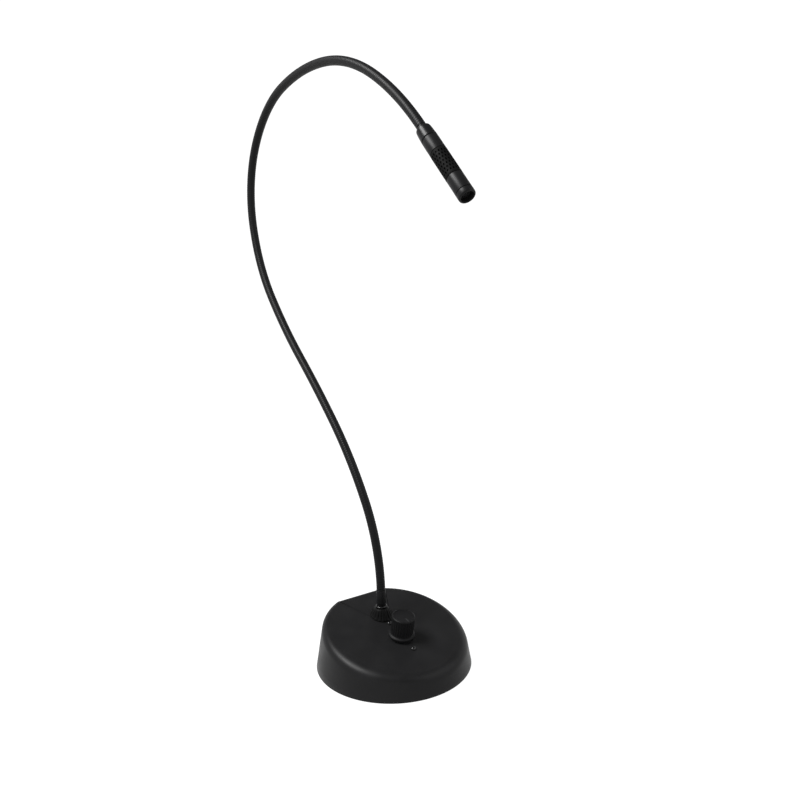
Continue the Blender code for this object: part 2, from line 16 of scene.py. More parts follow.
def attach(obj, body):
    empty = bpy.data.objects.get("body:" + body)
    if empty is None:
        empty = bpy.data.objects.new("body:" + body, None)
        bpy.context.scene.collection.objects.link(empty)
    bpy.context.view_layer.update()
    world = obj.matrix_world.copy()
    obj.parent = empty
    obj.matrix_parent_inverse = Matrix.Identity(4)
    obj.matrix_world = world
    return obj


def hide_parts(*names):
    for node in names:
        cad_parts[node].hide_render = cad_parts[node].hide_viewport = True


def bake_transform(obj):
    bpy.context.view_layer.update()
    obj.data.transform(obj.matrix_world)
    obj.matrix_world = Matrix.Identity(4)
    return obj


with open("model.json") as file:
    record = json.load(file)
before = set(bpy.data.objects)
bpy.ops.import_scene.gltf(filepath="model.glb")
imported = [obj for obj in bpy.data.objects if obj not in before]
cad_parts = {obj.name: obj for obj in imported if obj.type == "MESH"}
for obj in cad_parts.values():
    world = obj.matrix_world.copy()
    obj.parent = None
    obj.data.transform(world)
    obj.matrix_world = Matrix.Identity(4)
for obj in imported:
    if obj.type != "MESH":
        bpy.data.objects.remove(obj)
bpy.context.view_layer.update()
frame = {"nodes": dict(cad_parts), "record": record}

MM = 0.001
GAP = 0.3  # between pieces that touch

# Base
BASE_RADIUS = 54.2
FLAT_Y = 50.0
CORNER_RADIUS = 8.4
DRAFT = radians(9.7)
TOP_SLOPE = radians(12.5)
TOP_HEIGHT = 26.2
SHELL_FOOT = 0.2
WALL = 2.2
FRONT_FILLET = 7.9
REAR_FILLET = 3.5
FADE_START = 8.0  # the top fillet starts to grow this far in front of the flat rear face
FADE_LENGTH = 70.0
PLATE_BOTTOM = 2.1
BASE_SCREWS = ((-31.0, -31.0), (31.0, -31.0), (-38.0, 22.0), (38.0, 22.0))
KNOB_Y = -10.1
KNOB_RADIUS = 7.9
KNOB_HEIGHT = 17.0
PANEL_SCREW_Y = {"rear": 4.7, "front": -24.8}
PANEL_SCREW_RADIUS = 1.8
PANEL_SCREW_HOLE = 1.4
POT_HOLE = 4.4

# Neck
NECK_Y = 14.8
ROOT_RISE = 19.6
NECK_RADIUS = 3.175
NECK_BORE = 1.7
LINK_LENGTH = 64.2
LINK_BENDS = (-32.7, -14.5, -4.8, 10.3, 31.6, 46.1, 36.8, 18.9, 24.4, 17.2)
RIB_PITCH = 1.7
RIB_DEPTH = 0.2
NECK_HOLE = 4.4
STEM_LOW = -9.5  # lower end of the neck's stem, from the base's top
COLLAR_RADIUS = 8.1
COLLAR_TOP = 6.4
CABLE_RADIUS = 1.1
BOARD_TOP = 12.6

# Head, by the distance along its axis from the end of the neck
HEAD_RADIUS = 5.25
HEAD_BORE = 4.0
TUBE_RADIUS = 5.2
SPIGOT = 4.5  # radius of the short spigots that join the head's pieces
SPIGOT_LENGTH = 4.2
SOCKET = 4.8  # radius of the bores that take them
FERRULE = (0.3, 10.9)
BODY = (11.4, 22.0)
VENT = (22.3, 42.4)
FRONT = (42.7, 54.2)
TIP = (54.6, 58.3)
CAPSULE_BOARD = 43.2

# Rear inlet
INLET_Z = 18.6
INLET_BARREL = 11.3
INLET_BORE = 9.5
INLET_DEPTH = 15.0
INLET_SCREW = 9.8
PIN_ANGLES = (210.0, 330.0, 90.0)
PIN_CIRCLE = 4.6
PIN_RADIUS = 1.2


# Camera and light

LIGHT_AIM = Vector((0.0, 0.0, 0.05))


def camera():
    data = bpy.data.cameras.new("camera")
    data.lens = 39.24
    data.sensor_width = 36.0
    data.clip_start = 0.01
    data.shift_x = -0.00075
    data.shift_y = 0.00075
    made = bpy.data.objects.new("camera", data)
    bpy.context.scene.collection.objects.link(made)
    right = Vector((0.83507, -0.54962, -0.02405))
    up = Vector((0.13686, 0.1652, 0.97672))
    back = Vector((-0.53285, -0.81892, 0.21317))
    turn = Matrix((right, up, back)).transposed().to_4x4()
    made.matrix_world = Matrix.Translation(Vector((-297.57, -473.97, 309.78)) * MM) @ turn
    bpy.context.scene.camera = made


def softbox(name, place, size, power):
    """A soft rectangular light that looks at the base."""
    data = bpy.data.lights.new(name, "AREA")
    data.shape = "RECTANGLE"
    data.size, data.size_y = size
    data.energy = power
    made = bpy.data.objects.new(name, data)
    bpy.context.scene.collection.objects.link(made)
    made.location = place
    made.rotation_euler = (LIGHT_AIM - Vector(place)).to_track_quat("-Z", "Y").to_euler()


def studio():
    """A white sweep: a floor that curves up into a low wall all round, under a dim ceiling."""
    world = bpy.data.worlds.new("studio")
    bpy.context.scene.world = world
    world.use_nodes = True
    background = world.node_tree.nodes["Background"]
    background.inputs["Color"].default_value = (1.0, 1.0, 1.0, 1.0)
    background.inputs["Strength"].default_value = 0.17
    bpy.context.scene.view_settings.view_transform = "Standard"

    floor_radius = 1.5
    curve = 0.9
    wall_top = 1.3
    rings = [(0.0, 0.0), (0.4, 0.0), (0.9, 0.0)]
    for angle in map(radians, range(0, 91, 9)):
        rings.append((floor_radius + curve * sin(angle), curve * (1 - cos(angle))))
    rings.append((floor_radius + curve, wall_top))
    mesh = revolve("floor", rings, 64, 1.0)
    white = bpy.data.materials.new("floor_white")
    white.use_nodes = True
    shader = white.node_tree.nodes["Principled BSDF"]
    shader.inputs["Base Color"].default_value = (0.1, 0.1, 0.1, 1.0)
    shader.inputs["Roughness"].default_value = 0.9
    shader.inputs["Specular IOR Level"].default_value = 0.1
    shader.inputs["Emission Color"].default_value = (1.0, 1.0, 1.0, 1.0)
    shader.inputs["Emission Strength"].default_value = 1.0
    mesh.materials.append(white)
    floor = bpy.data.objects.new("floor", mesh)
    bpy.context.scene.collection.objects.link(floor)

    softbox("key_left", (-0.55, 0.2, 1.0), (0.55, 0.4), 24.0)
    softbox("fill_right", (0.62, -0.56, 0.8), (0.9, 0.7), 4.0)


# Mesh helpers


def smooth_mesh(mesh, sharp=32.0):
    mesh.polygons.foreach_set("use_smooth", [True] * len(mesh.polygons))
    mesh.set_sharp_from_angle(angle=radians(sharp))


def mesh_from(name, points, faces):
    mesh = bpy.data.meshes.new(name)
    mesh.from_pydata(points, [], faces)
    bm = bmesh.new()
    bm.from_mesh(mesh)
    bmesh.ops.recalc_face_normals(bm, faces=bm.faces)
    bm.to_mesh(mesh)
    bm.free()
    return mesh


def revolve(name, profile, sides, unit=MM, relief=None):
    """A mesh turned from (radius, height) points. A profile with both ends on the axis is solid;
    one that starts and ends off it is joined into a ring; relief(angle, radius, height) reshapes
    the radius."""
    points = []
    rows = []
    for radius, height in profile:
        if radius < 1e-6:
            rows.append([len(points)] * sides)
            points.append((0.0, 0.0, height * unit))
            continue
        rows.append(list(range(len(points), len(points) + sides)))
        for step in range(sides):
            angle = 2 * pi * step / sides
            reach = relief(angle, radius, height) if relief else radius
            points.append((reach * cos(angle) * unit, reach * sin(angle) * unit, height * unit))
    pairs = list(zip(rows, rows[1:]))
    if profile[0][0] > 1e-6 and profile[-1][0] > 1e-6:
        pairs.append((rows[-1], rows[0]))
    return mesh_from(name, points, quads(pairs, sides))


def quads(pairs, sides):
    faces = []
    for one, other in pairs:
        for step in range(sides):
            after = (step + 1) % sides
            corners = (one[step], one[after], other[after], other[step])
            face = [corner for index, corner in enumerate(corners) if corner != corners[index - 1]]
            if len(face) > 2:
                faces.append(face)
    return faces


def loft(name, rings, closed=False, caps=True):
    """A mesh through rings of points in millimetres, all with as many points."""
    sides = len(rings[0])
    points = [tuple(Vector(point) * MM) for ring in rings for point in ring]
    rows = [list(range(index * sides, (index + 1) * sides)) for index in range(len(rings))]
    pairs = list(zip(rows, rows[1:]))
    if closed:
        pairs.append((rows[-1], rows[0]))
    faces = quads(pairs, sides)
    if caps and not closed:
        faces += [rows[0], rows[-1]]
    return mesh_from(name, points, faces)


def soften(profile, radius, steps=3):
    """The profile with its corners off the axis rounded."""
    softened = []
    for index, corner in enumerate(profile):
        ends = index in (0, len(profile) - 1)
        if ends and profile[0][0] < 1e-6 and profile[-1][0] < 1e-6:
            softened.append(corner)
            continue
        here = Vector(corner)
        back = Vector(profile[index - 1]) - here
        on = Vector(profile[(index + 1) % len(profile)]) - here
        reach = min(radius, back.length * 0.45, on.length * 0.45)
        if reach < 0.02 or corner[0] < 1e-6 or back.angle(on) > radians(165):
            softened.append(corner)
            continue
        first = here + back.normalized() * reach
        last = here + on.normalized() * reach
        for step in range(steps + 1):
            share = step / steps
            point = first * (1 - share) ** 2 + here * 2 * share * (1 - share) + last * share**2
            softened.append(tuple(point))
    return softened


def rod(radius, low, high):
    return [(0.0, high), (radius, high), (radius, low), (0.0, low)]


def piece(name, mesh, finish, place=None, sharp=32.0):
    if place is not None:
        mesh.transform(place)
    smooth_mesh(mesh, sharp)
    mesh.materials.clear()
    mesh.materials.append(FINISHES[finish])
    made = bpy.data.objects.new(name, mesh)
    bpy.context.scene.collection.objects.link(made)
    return made


def stand_in(name, mesh, finish, place, body, node, sharp=32.0):
    """A piece that takes a CAD node's place and moves with a body."""
    made = piece(name, mesh, finish, place, sharp)
    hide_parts(node)
    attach(made, body)


def carve(mesh, cutters, sharp=32.0):
    """The mesh with the cutters' meshes taken out of it."""
    whole = bpy.data.objects.new("whole", mesh)
    bpy.context.scene.collection.objects.link(whole)
    helpers = [whole]
    for cutter in cutters:
        helper = bpy.data.objects.new("cutter", cutter)
        bpy.context.scene.collection.objects.link(helper)
        helpers.append(helper)
        boolean = whole.modifiers.new("cut", "BOOLEAN")
        boolean.operation = "DIFFERENCE"
        boolean.solver = "EXACT"
        boolean.object = helper
    graph = bpy.context.evaluated_depsgraph_get()
    carved = bpy.data.meshes.new_from_object(whole.evaluated_get(graph))
    for helper in helpers:
        bpy.data.objects.remove(helper)
    smooth_mesh(carved, sharp)
    return carved


def shaped(mesh, place):
    mesh.transform(place)
    return mesh


def box_mesh(name, size):
    bm = bmesh.new()
    bmesh.ops.create_cube(bm, size=1.0)
    bmesh.ops.scale(bm, vec=Vector(size) * MM, verts=bm.verts)
    mesh = bpy.data.meshes.new(name)
    bm.to_mesh(mesh)
    bm.free()
    return mesh


def place_at(y, z, tilt, x=0.0):
    return Matrix.Translation(Vector((x, y, z)) * MM) @ Matrix.Rotation(tilt, 4, "X")


def shift(x, y, z):
    return Matrix.Translation(Vector((x, y, z)) * MM)


def top_z(y):
    return TOP_HEIGHT + y * tan(TOP_SLOPE)


def on_top(y):
    return place_at(y, top_z(y), TOP_SLOPE)


# Materials


def coat(
    name, colour, roughness, metallic=0.0, specular=0.5, grain=0.35, height=0.004, spread=0.2, drift=0.05
):
    """A finish with fine grain of that size and height in millimetres, faint patches of colour and
    roughness that drifts."""
    material = bpy.data.materials.new(name)
    material.use_nodes = True
    tree = material.node_tree
    shader = tree.nodes["Principled BSDF"]
    shader.inputs["Metallic"].default_value = metallic
    shader.inputs["Specular IOR Level"].default_value = specular
    where = tree.nodes.new("ShaderNodeTexCoord").outputs["Object"]

    patches = tree.nodes.new("ShaderNodeTexNoise")
    patches.inputs["Scale"].default_value = 1.0 / (14.0 * MM)
    patches.inputs["Detail"].default_value = 4.0
    tree.links.new(where, patches.inputs["Vector"])
    mix = tree.nodes.new("ShaderNodeMix")
    mix.data_type = "RGBA"
    mix.inputs["A"].default_value = (*[c * (1 - spread) for c in colour], 1.0)
    mix.inputs["B"].default_value = (*[c * (1 + spread) for c in colour], 1.0)
    tree.links.new(patches.outputs["Fac"], mix.inputs["Factor"])
    tree.links.new(mix.outputs["Result"], shader.inputs["Base Color"])

    fine = tree.nodes.new("ShaderNodeTexNoise")
    fine.inputs["Scale"].default_value = 1.0 / (grain * MM)
    fine.inputs["Detail"].default_value = 2.0
    tree.links.new(where, fine.inputs["Vector"])
    rough = tree.nodes.new("ShaderNodeMapRange")
    rough.inputs["From Min"].default_value = 0.3
    rough.inputs["From Max"].default_value = 0.7
    rough.inputs["To Min"].default_value = roughness - drift
    rough.inputs["To Max"].default_value = roughness + drift
    tree.links.new(patches.outputs["Fac"], rough.inputs["Value"])
    tree.links.new(rough.outputs["Result"], shader.inputs["Roughness"])
    bump = tree.nodes.new("ShaderNodeBump")
    bump.inputs["Strength"].default_value = 1.0
    bump.inputs["Distance"].default_value = height * MM
    tree.links.new(fine.outputs["Fac"], bump.inputs["Height"])
    tree.links.new(bump.outputs["Normal"], shader.inputs["Normal"])
    return material


FINISHES = {
    "base_satin": coat("base_satin", (0.0072, 0.0072, 0.0075), 0.4, specular=0.1, height=0.005),
    "knob_plastic": coat("knob_plastic", (0.0055, 0.0055, 0.0058), 0.45, specular=0.08, grain=0.25),
    "knob_mark": coat("knob_mark", (0.016, 0.016, 0.017), 0.5, specular=0.2),
    "black_rubber": coat("black_rubber", (0.012, 0.012, 0.012), 0.8, grain=0.6, height=0.02),
    "black_metal": coat("black_metal", (0.006, 0.006, 0.0063), 0.38, specular=0.08, grain=0.2),
    "vent_dark": coat("vent_dark", (0.0035, 0.0035, 0.0035), 0.6, specular=0.03, grain=0.2, height=0.01),
    "collar_black": coat("collar_black", (0.003, 0.003, 0.003), 0.38, specular=0.06),
    "neck_satin": coat("neck_satin", (0.005, 0.005, 0.0053), 0.4, specular=0.08, grain=0.25),
    "ferrule_satin": coat(
        "ferrule_satin", (0.005, 0.005, 0.0053), 0.3, specular=0.1, grain=0.5, height=0.001
    ),
    "black_gloss": coat("black_gloss", (0.005, 0.005, 0.0053), 0.2, specular=0.3, grain=0.5, height=0.001),
    "zinc_steel": coat(
        "zinc_steel", (0.55, 0.56, 0.58), 0.38, metallic=1.0, grain=0.3, spread=0.12, drift=0.08
    ),
    "cast_iron": coat(
        "cast_iron", (0.09, 0.09, 0.095), 0.7, metallic=0.6, grain=0.8, height=0.05, spread=0.3
    ),
    "board_green": coat("board_green", (0.02, 0.11, 0.06), 0.4, grain=0.5, spread=0.1),
    "cable_grey": coat("cable_grey", (0.08, 0.08, 0.085), 0.55, grain=0.3),
    "insert_black": coat("insert_black", (0.014, 0.014, 0.014), 0.5, grain=0.3),
    "brass_gold": coat(
        "brass_gold", (0.8, 0.6, 0.3), 0.25, metallic=1.0, grain=0.5, height=0.001, spread=0.06
    ),
}


def finish_cad_nodes():
    """The inner pieces keep their CAD shape and take the slot's procedural material."""
    for entry in frame["record"]["subparts"]:
        node = frame["nodes"][entry["node"]]
        for material_slot in node.material_slots:
            material_slot.material = FINISHES[entry["material_slot"]]


# Base


def outline(steps_arc=120, steps_corner=14, steps_flat=20):
    """(x, y, outward x, outward y) round the D at the foot."""
    reach = BASE_RADIUS - CORNER_RADIUS
    corner_y = FLAT_Y - CORNER_RADIUS
    corner_x = sqrt(reach**2 - corner_y**2)
    start = atan2(corner_y, corner_x)
    points = []
    for step in range(steps_arc):
        angle = pi - start + (pi + 2 * start) * step / steps_arc
        points.append((BASE_RADIUS * cos(angle), BASE_RADIUS * sin(angle), cos(angle), sin(angle)))
    for step in range(steps_corner):
        angle = start + (pi / 2 - start) * step / steps_corner
        out_x, out_y = cos(angle), sin(angle)
        points.append((corner_x + CORNER_RADIUS * out_x, corner_y + CORNER_RADIUS * out_y, out_x, out_y))
    for step in range(steps_flat):
        points.append((corner_x * (1 - 2 * step / steps_flat), FLAT_Y, 0.0, 1.0))
    for step in range(steps_corner):
        angle = pi / 2 + (pi / 2 - start) * step / steps_corner
        out_x, out_y = cos(angle), sin(angle)
        points.append((-corner_x + CORNER_RADIUS * out_x, corner_y + CORNER_RADIUS * out_y, out_x, out_y))
    return points


def meridian(x, y, out_x, out_y, inset, steps):
    """Points up the wall, round the fillet and onto the top, in the upright plane through one
    point of the outline. Inset is the wall thickness for the inner surface."""
    draft = tan(DRAFT)
    slope = tan(TOP_SLOPE) * out_y
    inward = -inset / cos(DRAFT)
    height = TOP_HEIGHT + tan(TOP_SLOPE) * y - inset / cos(TOP_SLOPE)
    edge_z = (height + slope * inward) / (1.0 + slope * draft)
    edge = Vector((inward - edge_z * draft, edge_z))
    share = min(max((FLAT_Y - FADE_START - (y + edge.x * out_y)) / FADE_LENGTH, 0.0), 1.0)
    radius = REAR_FILLET + (FRONT_FILLET - REAR_FILLET) * share * share * (3.0 - 2.0 * share)
    radius = max(radius - inset, 0.8)
    down = Vector((draft, -1.0)).normalized()
    across = Vector((-1.0, -slope)).normalized()
    half = down.angle(across) / 2
    middle = edge + (down + across).normalized() * radius / sin(half)
    first = edge + down * radius / tan(half) - middle
    sweep = pi - 2 * half
    foot = Vector((inward - SHELL_FOOT * draft, SHELL_FOOT))
    wall_end = middle + first
    profile = [foot + (wall_end - foot) * part for part in (0.0, 0.25, 0.5, 0.75, 0.97)]
    for step in range(steps + 1):
        turn = Matrix.Rotation(sweep * step / steps, 2)
        profile.append(middle + turn @ first)
    profile.append(profile[-1] + across * 0.4)
    return [(x + out_x * u, y + out_y * u, z) for u, z in profile]


def shrink(ring, share, drop=0.0):
    """The top's ring drawn in towards the middle of the top, along its slope."""
    return [(x * share, y * share, top_z(y * share) - drop) for x, y, _ in ring]


def build_shell():
    """The shell as one closed skin: inside, foot edge, wall, fillet and top, then its holes."""
    around = outline()
    outer = list(zip(*[meridian(*point, 0.0, 12) for point in around]))
    inner = list(zip(*[meridian(*point, WALL, 4) for point in around]))

    def foot_ring(inset, rise):
        ring = []
        for (x, y, _), (_, _, out_x, out_y) in zip(outer[0], around):
            ring.append((x - out_x * inset, y - out_y * inset, SHELL_FOOT + rise))
        return ring

    lip = 0.5
    drop = WALL / cos(TOP_SLOPE)
    rings = [shrink(inner[-1], share, drop) for share in (0.1, 0.6, 0.97)]
    rings += list(inner[::-1])
    rings += [foot_ring(lip, 0.0), foot_ring(lip * 0.3, lip * 0.3), foot_ring(0.0, lip)]
    rings += list(outer[1:])
    rings += [shrink(outer[-1], share) for share in (0.985, 0.9, 0.7, 0.5, 0.3, 0.1)]
    mesh = loft("base_shell_skin", rings)
    holes = [shaped(revolve("hole", rod(POT_HOLE, -8.0, 6.0), 40), on_top(KNOB_Y))]
    for y in PANEL_SCREW_Y.values():
        holes.append(shaped(revolve("hole", rod(PANEL_SCREW_HOLE, -8.0, 6.0), 24), on_top(y)))
    holes.append(shaped(revolve("hole", rod(NECK_HOLE, -10.0, 8.0), 40), NECK_FOOT))
    holes.append(shaped(revolve("hole", rod(INLET_BARREL + GAP, -6.0, 6.0), 64), INLET_PLACE))
    stand_in("base_shell_skin", carve(mesh, holes), "base_satin", None, "base", "base_shell", sharp=40.0)


NECK_FOOT = place_at(NECK_Y, top_z(NECK_Y), 0.0)
INLET_PLACE = place_at(FLAT_Y - INLET_Z * tan(DRAFT), INLET_Z, -(pi / 2 - DRAFT))


def screw_mesh(name, head_radius, head_height, base, shank_radius, shank_low, cross):
    """A domed screw with a cross recess, standing on base."""
    dome = []
    for degrees_up in (88, 75, 62, 48, 34, 20, 8):
        angle = radians(degrees_up)
        dome.append((head_radius * cos(angle), base + head_height * sin(angle)))
    profile = [(0.0, base + head_height)] + dome
    profile += [(head_radius, base), (shank_radius, base), (shank_radius, shank_low), (0.0, shank_low - 0.6)]
    mesh = revolve(name, profile, 40)
    recess = shift(0, 0, base + head_height * 1.25)
    cutters = []
    for turn in (0.4, 0.4 + pi / 2):
        bar = box_mesh("bar", (cross * 2, cross * 0.42, head_height * 1.6))
        cutters.append(shaped(bar, recess @ Matrix.Rotation(turn, 4, "Z")))
    return carve(mesh, cutters)


def build_screws():
    for end, y in PANEL_SCREW_Y.items():
        mesh = screw_mesh("panel_screw", PANEL_SCREW_RADIUS, 1.3, GAP, PANEL_SCREW_HOLE - GAP, -5.4, 0.8)
        node = f"panel_screw_{end}"
        stand_in(f"{node}_detail", mesh, "black_gloss", on_top(y), "base", node)
    for number, (x, y) in enumerate(BASE_SCREWS, 1):
        upside_down = place_at(y, 0.0, 0.0, x) @ Matrix.Rotation(pi, 4, "X")
        mesh = screw_mesh("base_screw", 2.7, 1.0, -(PLATE_BOTTOM - GAP), 1.2, -10.0, 1.5)
        node = f"base_screw_{number}"
        stand_in(f"{node}_detail", mesh, "zinc_steel", upside_down, "base", node)
    for number, side in enumerate((-1, 1), 1):
        place = INLET_PLACE @ shift(-side * INLET_SCREW, side * INLET_SCREW, 0.0)
        mesh = screw_mesh("inlet_screw", 2.2, 1.3, 2.2, 1.1, -4.4, 1.2)
        node = f"inlet_screw_{number}"
        stand_in(f"{node}_detail", mesh, "black_metal", place, "base", node)


def rounded_rectangle(half_x, half_y, corner, steps=8):
    """(x, y) points round the four corners, anticlockwise."""
    edge = []
    for side_x, side_y, start in ((1, 1, 0), (-1, 1, 90), (-1, -1, 180), (1, -1, 270)):
        for step in range(steps + 1):
            angle = radians(start + 90 * step / steps)
            x = side_x * (half_x - corner) + corner * cos(angle)
            y = side_y * (half_y - corner) + corner * sin(angle)
            edge.append((x, y))
    return edge


def build_inlet_shell():
    """The flange with rounded corners, and its barrel."""
    half_x, half_y = 13.0, 12.5
    low, high = GAP, 1.9
    edge = rounded_rectangle(half_x, half_y, 2.5)
    rings = []
    for inset, z in ((0.0, low), (0.0, high - 0.4), (0.12, high - 0.12), (0.4, high)):
        share_x, share_y = 1 - inset / half_x, 1 - inset / half_y
        rings.append([(x * share_x, y * share_y, z) for x, y in edge])
    rounds = [(INLET_BORE + 0.9, high), (INLET_BORE + 0.3, high - 0.15), (INLET_BORE, high - 0.5)]
    rounds += [(INLET_BORE, -INLET_DEPTH), (INLET_BARREL, -INLET_DEPTH), (INLET_BARREL, low)]
    for radius, z in rounds:
        rings.append([(x / hypot(x, y) * radius, y / hypot(x, y) * radius, z) for x, y in edge])
    cutters = []
    for side in (-1, 1):
        place = shift(-side * INLET_SCREW, side * INLET_SCREW, 0)
        cutters.append(shaped(revolve("hole", rod(1.4, -4.0, 4.0), 20), place))
    cutters.append(shaped(box_mesh("key", (3.2, 3.0, 5.0)), shift(0.0, -INLET_BORE - 0.4, 0.6)))
    shell = carve(loft("inlet_shell_detail", rings, closed=True), cutters)
    stand_in("inlet_shell_detail", shell, "black_metal", INLET_PLACE, "base", "inlet_shell")


def build_inlet_pins():
    """The insert at the bottom of the barrel, and the three pins that it carries."""
    places = []
    for angle in map(radians, PIN_ANGLES):
        places.append(shift(cos(angle) * PIN_CIRCLE, sin(angle) * PIN_CIRCLE, 0.0))
    body = soften(rod(INLET_BORE - GAP, -INLET_DEPTH, -INLET_DEPTH + 3.5), 0.4)
    holes = [shaped(revolve("hole", rod(PIN_RADIUS + GAP, -20.0, 0.0), 24), place) for place in places]
    insert = carve(revolve("insert", body, 48), holes)
    stand_in("inlet_insert_detail", insert, "insert_black", INLET_PLACE, "base", "inlet_insert")
    tail = -INLET_DEPTH - 1.5
    profile = [(0.0, -2.0)]
    for angle in map(radians, (75, 55, 35, 15, 0)):
        profile.append((PIN_RADIUS * cos(angle), -3.0 + sin(angle)))
    profile += [(PIN_RADIUS, tail), (0.0, tail)]
    for number, place in enumerate(places, 1):
        node = f"inlet_pin_{number}"
        pin = revolve("pin", profile, 28)
        stand_in(f"{node}_detail", pin, "brass_gold", INLET_PLACE @ place, "base", node)


# Knob


def build_knob():
    """The fluted knob with its skirt, its set screw and a short pointer line."""
    place = on_top(KNOB_Y)
    flutes = 28
    flute_depth = 0.3
    high = KNOB_HEIGHT
    flute_low, flute_high = 3.7, high - 1.0

    def fluted(angle, radius, height):
        if radius < KNOB_RADIUS - 0.05 or not flute_low < height < flute_high:
            return radius
        fade = min(1.0, (height - flute_low) / 0.5, (flute_high - height) / 0.5)
        return radius - flute_depth * fade * (0.5 + 0.5 * cos(flutes * angle)) ** 2

    side = [(KNOB_RADIUS, z) for z in (high - 1.0, high - 1.5, high - 2.6, 10.0, 6.5, 4.4, 3.8)]
    top = [(0.0, high - 0.6), (2.6, high - 0.58), (5.2, high - 0.5), (6.6, high - 0.4), (6.8, high)]
    top += [(7.4, high), (7.75, high - 0.3)]
    skirt = [(7.95, 3.6), (8.2, 3.35), (8.9, 3.1), (9.15, 2.95), (9.2, 2.7), (9.2, 1.9), (9.05, 1.7)]
    bore = [(7.3, 1.7), (7.3, 3.8), (3.3, 3.8), (3.3, 13.9), (0.0, 13.9)]
    mesh = revolve("knob", top + side + skirt + bore, flutes * 8, relief=fluted)
    screw_place = shift(0, 0, 8.4) @ Matrix.Rotation(pi / 2, 4, "Y")
    mesh = carve(mesh, [shaped(revolve("hole", rod(1.5, 2.5, 10.0), 24), screw_place)])
    stand_in("level_knob_detail", mesh, "knob_plastic", place, "knob", "level_knob")
    socket = revolve("socket", soften(rod(1.1, 3.3, 7.6), 0.15), 28)
    socket = carve(socket, [revolve("hexagon", rod(0.62, 6.4, 9.0), 6)])
    socket_place = place @ screw_place
    stand_in("knob_set_screw_detail", socket, "zinc_steel", socket_place, "knob", "knob_set_screw")
    mark = loft("mark", stadium_rings(0.35, 1.9, 0.05, 0.22))
    line = piece("knob_pointer_line", mark, "knob_mark", place @ shift(0.0, -4.7, high - 0.58))
    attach(line, "knob")


def stadium_rings(half_width, half_length, low, high):
    rings = []
    for inset, z in ((0.0, low - 0.4), (0.0, high - 0.06), (0.06, high)):
        ring = []
        for end in (1, -1):
            for step in range(9):
                angle = pi / 2 * (1 - end) + pi * step / 8
                radius = half_width - inset
                ring.append((radius * cos(angle), end * (half_length - half_width) + radius * sin(angle), z))
        rings.append(ring)
    return rings


# Neck's foot


def collar_mesh():
    """A ribbed cone whose foot follows the sloping top and whose upper end is level."""
    sides = 144
    ribs = 18
    bore = 3.4

    def ring_at(radius, share, flute):
        ring = []
        for step in range(sides):
            angle = 2 * pi * step / sides
            reach = radius - flute * (0.5 + 0.5 * cos(ribs * angle)) ** 3
            x, y = reach * cos(angle), reach * sin(angle)
            foot = GAP + y * tan(TOP_SLOPE)
            ring.append((x, y, foot * (1 - share) + COLLAR_TOP * share))
        return ring

    rings = [
        ring_at(bore, 0.0, 0.0),
        ring_at(COLLAR_RADIUS - 0.2, 0.0, 0.0),
        ring_at(COLLAR_RADIUS, 0.03, 0.0),
        ring_at(COLLAR_RADIUS, 0.08, 0.1),
        ring_at(COLLAR_RADIUS - 0.3, 0.15, 0.55),
        ring_at(7.0, 0.42, 0.6),
        ring_at(5.95, 0.72, 0.5),
        ring_at(5.3, 0.9, 0.2),
        ring_at(4.95, 0.96, 0.0),
        ring_at(4.65, 1.0, 0.0),
        ring_at(bore, 1.0, 0.0),
    ]
    return loft("collar", rings, closed=True)


def build_root():
    """The collar, the ring on it and the sleeve that the neck comes out of."""
    collar = collar_mesh()
    stand_in("neck_collar_detail", collar, "collar_black", NECK_FOOT, "base", "neck_collar", sharp=50.0)
    section = [(3.3, 8.0), (3.6, 8.0), (3.9, 7.75), (4.0, 7.35), (3.9, 6.95), (3.6, 6.7), (3.3, 6.7)]
    ring = revolve("ring", soften(section, 0.15), 64)
    stand_in("collar_ring_detail", ring, "black_gloss", NECK_FOOT, "base", "collar_ring")
    fitting = [(3.0, 9.3), (3.35, 9.65), (3.35, 19.0), (3.3, 19.3), (3.2, ROOT_RISE)]
    fitting += [(NECK_BORE, ROOT_RISE), (NECK_BORE, STEM_LOW), (3.0, STEM_LOW)]
    sleeve = revolve("sleeve", soften(fitting, 0.25), 48)
    stand_in("neck_root_sleeve", sleeve, "black_metal", NECK_FOOT, "base", "neck_root_fitting")


# Neck


def arc_point(y, z, tilt, bend, share):
    radius = LINK_LENGTH / bend
    end = tilt + bend * share
    return y + radius * (cos(end) - cos(tilt)), z + radius * (sin(end) - sin(tilt)), end


def neck_stops():
    y, z, tilt = NECK_Y, top_z(NECK_Y) + ROOT_RISE, 0.0
    stops = [(y, z, tilt)]
    for bend in LINK_BENDS:
        y, z, tilt = arc_point(y, z, tilt, radians(bend), 1.0)
        stops.append((y, z, tilt))
    return stops


STOPS = neck_stops()


def neck_at(distance):
    """(y, z, tilt) at this distance along the neck from its foot, in millimetres."""
    link = min(max(int(distance // LINK_LENGTH), 0), len(LINK_BENDS) - 1)
    share = distance / LINK_LENGTH - link
    return arc_point(*STOPS[link], radians(LINK_BENDS[link]), share)


def tube_rings(low, high, radius_at, step, sides):
    count = max(2, round((high - low) / step))
    rings = []
    for index in range(count + 1):
        distance = low + (high - low) * index / count
        y, z, tilt = neck_at(distance)
        ring = []
        for turn in range(sides):
            angle = 2 * pi * turn / sides
            radius = radius_at(distance, angle)
            across = radius * sin(angle)
            ring.append((radius * cos(angle), y + across * cos(tilt), z + across * sin(tilt)))
        rings.append(ring)
    return rings


def ribbed(distance, angle):
    """The neck's close-wound coil: rounded ribs that run round it as a screw."""
    phase = (distance / RIB_PITCH - angle / (2 * pi)) % 1.0
    return NECK_RADIUS - RIB_DEPTH * abs(2 * phase - 1) ** 3


